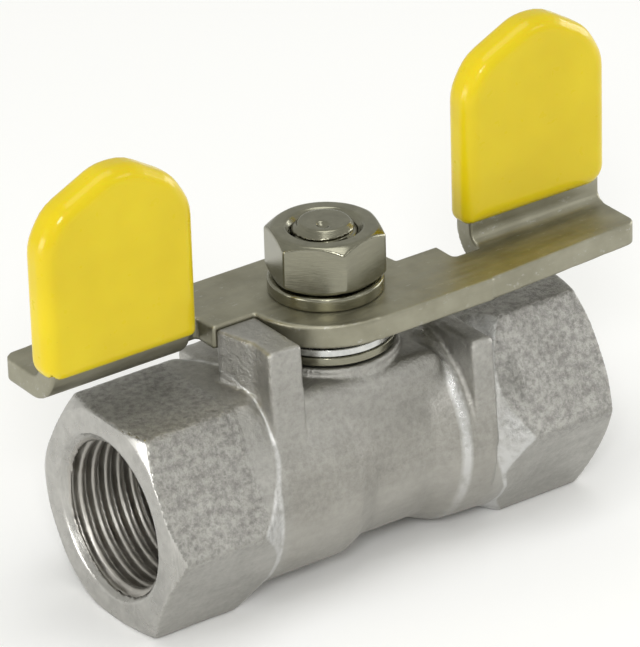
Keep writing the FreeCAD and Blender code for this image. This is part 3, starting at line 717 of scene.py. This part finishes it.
def roughened(points, field):
    """Move cast skin in and out by the small unevenness that a mould leaves, but not the post's
    top, whose sides stop the handle."""
    gradient = slope_of(field, points)[1]
    normal = gradient / np.maximum(np.linalg.norm(gradient, axis=1), 1e-9)[:, None]
    skin = ~is_machined(points) & (points[:, 2] < PLATE_BOTTOM - 0.7)
    relief = np.zeros(len(points))
    for i in np.nonzero(skin)[0]:
        p = Vector(points[i])
        relief[i] = 0.055 * noise.noise(p * 0.28) + 0.030 * noise.noise(p * 0.9) \
            + 0.022 * noise.noise(p * 2.3)
    return points + normal * (relief - 0.02 * skin)[:, None]


def make_casting():
    fine, coarse = 0.27, 0.44
    ends, threads = HALF_LENGTH + MARGIN, 17.6
    along = grid_axis((-ends, -threads, fine), (-threads, threads, coarse), (threads, ends, fine))
    across = grid_axis((-HEX_R - MARGIN, HEX_R + MARGIN, coarse))
    up = grid_axis((-FLAT_R - MARGIN, POST_TOP + MARGIN, coarse))
    points, quads = surface(casting, (along, across, up))
    piece = mesh_object("cast_body", roughened(points, casting), quads, [CAST, TURNED_PIPE, BORED],
                        lambda centres: np.where(is_machined(centres), 1 + in_bore(centres), 0))
    place(piece, "valve_body", "body")


# ---- handle -------------------------------------------------------------------------------
WING_MIDDLE = (WING_START + ARM_LENGTH) / 2
RIDGE_SHIFT, HALF_RIDGE = 0.8, 1.9
SHOULDER_IN, SHOULDER_BELOW, SIDE_BELOW = 2.3, 3.5, 7.4
WING_ROUNDING = 5.0


def wing_outline(grow, bottom, top, ridge_shift, outer_corner_r=0.5, inner_corner_r=0.5):
    """Side view of a wing, grown all round: straight sides under a rounded roof."""
    half, ridge = ARM_LENGTH + grow - WING_MIDDLE, WING_MIDDLE + ridge_shift
    peak, soft = top + grow, WING_ROUNDING + grow
    low, high = peak - SIDE_BELOW, peak - SHOULDER_BELOW
    return rounded([
        (WING_MIDDLE - half, bottom, inner_corner_r), (WING_MIDDLE + half, bottom, outer_corner_r),
        (WING_MIDDLE + half, low, soft), (WING_MIDDLE + half - SHOULDER_IN, high, soft),
        (ridge + HALF_RIDGE, peak, soft), (ridge - HALF_RIDGE, peak, soft),
        (WING_MIDDLE - half + SHOULDER_IN, high, soft), (WING_MIDDLE - half, low, soft)])


def bent_sheet(y, z):
    """Sheet that runs flat from the arm, turns up through the bend and stands as the wing."""
    middle_r = BEND_INNER_R + PLATE_T / 2
    y_bend, z_bend = -middle_r, PLATE_BOTTOM + PLATE_T / 2 + middle_r
    bend = np.abs(np.hypot(y - y_bend, z - z_bend) - middle_r)
    flat = np.abs(z - PLATE_BOTTOM - PLATE_T / 2)
    path = np.where(z >= z_bend, np.abs(y), np.where(y <= y_bend, flat, bend))
    return path - PLATE_T / 2


RIGHT_WING = wing_outline(0, PLATE_BOTTOM - 6, RIGHT_WING_TOP, RIDGE_SHIFT)
LEFT_WING = wing_outline(0, PLATE_BOTTOM - 6, LEFT_WING_TOP, -RIDGE_SHIFT)


def wing(outline, x, y, z):
    """Right-hand wing with its bend, before the sleeve."""
    edge = -(BEND_INNER_R + PLATE_T / 2) - 1.0
    return np.maximum(meet(bent_sheet(y, z), from_outline(x, z, outline), 0.25), edge - y)


def half_handle(outline, x, y, z, slab):
    """Right-hand arm with its wing; the other half is the same field turned half round."""
    bend_start = -(BEND_INNER_R + PLATE_T / 2)
    taper = (HUB_R - ARM_TIP_OUTER) / (ARM_LENGTH - NOTCH_START)
    outer = -y - HUB_R + np.maximum(x - NOTCH_START, 0) * taper
    near = np.maximum(meet(x - NOTCH_START, y - ARM_INNER, 0.3), outer)
    far = meet(meet(x - ARM_LENGTH, outer, ARM_TIP_ROUNDING), y - bend_start, 0.2)
    plan = np.maximum(join(near, far, 0.5), -x)
    return np.minimum(meet(plan, slab, SHEET_EDGE), wing(outline, x, y, z))


def handle(x, y, z):
    """Distance field of the whole stamped handle."""
    slab = between(z, PLATE_BOTTOM, PLATE_TOP)
    from_stem = np.hypot(x, y)
    hub = meet(from_stem - HUB_R, slab, SHEET_EDGE)
    right = half_handle(RIGHT_WING, x, y, z, slab)
    left = half_handle(LEFT_WING, -x, -y, z, slab)
    sheet = np.minimum(hub, np.minimum(right, left))
    hole = np.maximum(from_stem - STEM_R, np.abs(y) - STEM_FLATS / 2) - HOLE_GAP
    return cut(sheet, hole)


def make_handle():
    step = 0.33
    ends, sides = ARM_LENGTH + MARGIN, HUB_R + MARGIN
    axes = (grid_axis((-ends, ends, step)), grid_axis((-sides, sides, step)),
            grid_axis((PLATE_BOTTOM - MARGIN, RIGHT_WING_TOP + MARGIN, step)))
    points, quads = surface(handle, axes)
    piece = mesh_object("butterfly_handle", points, quads, [SHEET])
    place(piece, "handle", "handle_plate")


# ---- vinyl grips --------------------------------------------------------------------------
OUTER_CORNER_R, INNER_CORNER_R = 2.6, 1.2
SKIN_ROUNDING = 1.9


def grip(bottom, top, ridge_shift, outline):
    """Field of the right-hand grip: a soft skin round the wing, open below, with round corners."""
    shape = wing_outline(SLEEVE_T, bottom, top, ridge_shift, OUTER_CORNER_R, INNER_CORNER_R)

    def field(x, y, z):
        skin = meet(np.abs(y) - PLATE_T / 2 - SLEEVE_T, from_outline(x, z, shape), SKIN_ROUNDING)
        return cut(skin, wing(outline, x, y, z), 0.1)
    return field


def make_grip(name, node, bottom, top, ridge_shift, outline, turn):
    step = 0.30
    reach = SLEEVE_T + MARGIN
    axes = (grid_axis((WING_START - reach, ARM_LENGTH + reach, step)),
            grid_axis((-PLATE_T - reach, PLATE_T + reach, step)),
            grid_axis((bottom - 0.8, top + reach, step)))
    points, quads = surface(grip(bottom, top, ridge_shift, outline), axes)
    points[:, :2] *= turn
    piece = mesh_object(name, points, quads, [VINYL])
    place(piece, "handle", node)


# ---- stem, nut and washers ----------------------------------------------------------------
def stem(x, y, z):
    """Stem from its tang up to the M8 end, with a punch mark in the end face."""
    from_stem = np.hypot(x, y)
    shaft = meet(from_stem - STEM_R, between(z, COLLAR_BOTTOM, FLATS_BOTTOM + 3), TURNED_EDGE)
    flats = np.where(z > FLATS_BOTTOM, np.abs(y) - STEM_FLATS / 2, -STEM_R)
    shaft = np.maximum(shaft, flats)
    collar = meet(from_stem - COLLAR_R, between(z, COLLAR_BOTTOM, COLLAR_TOP), TURNED_EDGE)
    tang = meet(between(x, -TANG_T / 2, TANG_T / 2), from_stem - TANG_R, 0.25)
    tang = meet(tang, between(z, TANG_BOTTOM, COLLAR_BOTTOM + 1), 0.25)
    turns = z / M8_PITCH - np.arctan2(y, x) / (2 * math.pi)
    thread = from_stem - M8_R + M8_DEPTH * screw(turns, 0.15, 0.12)
    end = meet(thread * 0.7, between(z, FLATS_BOTTOM + 2, STEM_TOP), 0.12)
    end = np.maximum(end, (from_stem + z - M8_R - STEM_TOP + STEM_END_CHAMFER) * 0.707)
    solid = np.minimum(join(shaft, collar, 0.15), np.minimum(tang, end))
    groove = np.maximum(GROOVE_R - from_stem, between(z, GROOVE_BOTTOM, GROOVE_TOP))
    solid = cut(solid, groove, 0.1)
    punch = np.sqrt((x + 0.9) ** 2 + (y + 0.9) ** 2 * 0.5 + (z - STEM_TOP - 0.25) ** 2) - 0.75
    return cut(solid, punch, 0.1)


def nut(x, y, z):
    """Hexagon nut, chamfered on both faces, with a countersunk threaded hole."""
    from_stem = np.hypot(x, y)
    solid = hexagon(x, y, NUT_FLAT_R, TURNED_EDGE, NUT_TURN)
    middle, half = (NUT_BOTTOM + NUT_TOP) / 2, (NUT_TOP - NUT_BOTTOM) / 2
    height = np.abs(z - middle)
    face_r = NUT_FLAT_R - NUT_FACE_INSET
    chamfer = cone(height, from_stem, half - NUT_CHAMFER, NUT_CORNER_R, half, face_r)
    solid = meet(meet(solid, chamfer, TURNED_EDGE), height - half, 0.15)
    turns = z / M8_PITCH - np.arctan2(y, x) / (2 * math.pi)
    hole = from_stem - NUT_HOLE_R + NUT_THREAD_DEPTH * screw(turns, 0.15, 0.12)
    sink = cone(height, from_stem, half, NUT_SINK_R, half - NUT_SINK_DEPTH, NUT_HOLE_R)
    return cut(solid, np.minimum(hole, np.maximum(sink, half - 1.2 - height)), 0.08)


def lock_washer(x, y, z):
    """Split spring washer, its cut ends a little apart and a little out of level."""
    from_stem = np.hypot(x, y)
    around = np.mod(np.arctan2(y, x) - LOCK_WASHER_SPLIT_AT, 2 * math.pi) / (2 * math.pi)
    level = z - LOCK_WASHER_RISE * (around - 0.5)
    width = between(from_stem, LOCK_WASHER_INNER_R, LOCK_WASHER_R)
    ring = meet(width, between(level, PLATE_TOP, NUT_BOTTOM), 0.3)
    from_split = np.abs(np.mod(around + 0.5, 1.0) - 0.5) * 2 * math.pi * from_stem
    split = from_split - LOCK_WASHER_SPLIT / 2
    return meet(ring, -split, 0.12)


def make_about_stem(name, node, body, field, radius, low, high, step, material):
    axes = (grid_axis((-radius - 0.5, radius + 0.5, step)),
            grid_axis((-radius - 0.5, radius + 0.5, step)), grid_axis((low - 0.5, high + 0.5, step)))
    points, quads = surface(field, axes)
    piece = mesh_object(name, points, quads, [material])
    place(piece, body, node)


def make_ring(name, node, body, corners, radius, material):
    """Ring turned about the stem from an outline with rounded corners."""
    outline = rounded([(r, height, radius) for r, height in corners])
    count, turns = len(outline), 144
    points, quads = [], []
    for t in range(turns):
        angle = 2 * math.pi * t / turns
        points += [(r * math.cos(angle), r * math.sin(angle), height) for r, height in outline]
        after = (t + 1) % turns
        quads += [(t * count + k, after * count + k, after * count + (k + 1) % count,
                   t * count + (k + 1) % count) for k in range(count)]
    piece = mesh_object(name, points, quads, [material])
    place(piece, body, node)


def make_stem_stack():
    make_about_stem("stem_hex_nut", "stem_nut", "handle", nut,
                    NUT_CORNER_R, NUT_BOTTOM, NUT_TOP, 0.17, TURNED_STEM)
    make_about_stem("threaded_stem", "stem", "handle", stem,
                    COLLAR_R, TANG_BOTTOM, STEM_TOP, 0.20, TURNED_STEM)
    make_about_stem("split_lock_washer", "lock_washer", "handle", lock_washer,
                    LOCK_WASHER_R, PLATE_TOP, NUT_BOTTOM, 0.18, TURNED_STEM)
    inner, nose_r, flange = STEM_HOLE_R, PACKING_R - GLAND_NOSE_GAP, BOSS_TOP + GLAND_FLANGE_GAP
    make_ring("gland_follower", "gland_ring", "valve_body",
              [(inner, GLAND_BOTTOM), (nose_r, GLAND_BOTTOM), (nose_r, flange), (GLAND_R, flange),
               (GLAND_R, GLAND_TOP), (inner, GLAND_TOP)], 0.16, TURNED_STEM)
    bore, crown = STEM_R + HOLE_GAP, DISC_BOTTOM + DISC_CONE
    thick = (DISC_TOP - DISC_BOTTOM) / 2 - DISC_CONE
    lower = [(bore, crown), (DISC_R, DISC_BOTTOM), (DISC_R, DISC_BOTTOM + thick), (bore, crown + thick)]
    upper = [(r, DISC_TOP + DISC_BOTTOM - z) for r, z in reversed(lower)]
    make_ring("lower_disc", "lower_disc_spring", "handle", lower, 0.14, SPRING)
    make_ring("upper_disc", "upper_disc_spring", "handle", upper, 0.14, SPRING)


def paint_cad_nodes():
    """Materials of the inner pieces whose CAD shape is shown as it is."""
    looks = {"seat_retainer": TURNED_PIPE, "retainer_gasket": PTFE, "inlet_seat": PTFE,
             "outlet_seat": PTFE, "ball": POLISHED, "stem_o_ring": RUBBER, "thrust_washer": PTFE,
             "lower_packing_ring": PTFE, "upper_packing_ring": PTFE}
    for node, material in looks.items():
        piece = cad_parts[node]
        piece.data.materials.clear()
        piece.data.materials.append(material)


# ---- studio -------------------------------------------------------------------------------
def make_floor():
    size = 3.0
    mesh = bpy.data.meshes.new("studio_floor")
    mesh.from_pydata([(-size, -size, 0), (size, -size, 0), (size, size, 0), (-size, size, 0)],
                     [], [(0, 1, 2, 3)])
    mesh.materials.append(floor_paint())
    floor = bpy.data.objects.new("studio_floor", mesh)
    bpy.context.scene.collection.objects.link(floor)


def aim(thing, place_mm, target_mm, roll_deg=0.0):
    """Put a lamp or camera at a place and point it at a target."""
    start, end = Vector(place_mm) * MM, Vector(target_mm) * MM
    turn = (end - start).to_track_quat("-Z", "Y").to_matrix().to_4x4()
    thing.matrix_world = Matrix.Translation(start) @ turn @ Matrix.Rotation(
        math.radians(roll_deg), 4, "Z")


def make_lamp(name, place_mm, target_mm, width_mm, height_mm, power):
    data = bpy.data.lights.new(name, "AREA")
    data.shape = "RECTANGLE"
    data.size, data.size_y = width_mm * MM, height_mm * MM
    data.energy = power
    lamp = bpy.data.objects.new(name, data)
    bpy.context.scene.collection.objects.link(lamp)
    aim(lamp, place_mm, target_mm)


def make_studio():
    world = bpy.data.worlds.new("studio")
    world.use_nodes = True
    world.node_tree.nodes["Background"].inputs[0].default_value = rgb(0.80, 0.80, 0.76)
    world.node_tree.nodes["Background"].inputs[1].default_value = 0.74
    bpy.context.scene.world = world
    bpy.context.scene.view_settings.view_transform = "Standard"
    middle = (0, 0, 25)
    make_lamp("key", (-480, -670, 600), middle, 200, 200, 2.6)
    make_lamp("front_right", (460, -680, 440), middle, 220, 220, 0.35)
    make_lamp("left_wall", (-900, 60, 170), middle, 600, 280, 3.0)
    make_lamp("right_wall", (900, -60, 170), middle, 600, 280, 2.4)
    make_lamp("top", (0, -80, 820), middle, 520, 520, 1.6)


def make_camera():
    """Camera in front of the valve, turned towards the inlet and looking down."""
    azimuth, elevation, distance = math.radians(34.67), math.radians(27.19), 700.5
    target = Vector((2.92, 5.74, 12.43 + PIPE_Z))
    forward = Vector((math.sin(azimuth) * math.cos(elevation),
                      math.cos(azimuth) * math.cos(elevation), -math.sin(elevation)))
    data = bpy.data.cameras.new("camera")
    data.sensor_width = 36.0
    data.lens = 320.4
    data.clip_end = 10.0
    camera = bpy.data.objects.new("camera", data)
    bpy.context.scene.collection.objects.link(camera)
    aim(camera, target - forward * distance, target, -1.7)
    bpy.context.scene.camera = camera


make_casting()
make_handle()
make_grip("left_vinyl_grip", "left_grip_sleeve", LEFT_SLEEVE_BOTTOM, LEFT_WING_TOP,
          -RIDGE_SHIFT, LEFT_WING, -1)
make_grip("right_vinyl_grip", "right_grip_sleeve", RIGHT_SLEEVE_BOTTOM, RIGHT_WING_TOP,
          RIDGE_SHIFT, RIGHT_WING, 1)
make_stem_stack()
paint_cad_nodes()
make_floor()
make_studio()
make_camera()
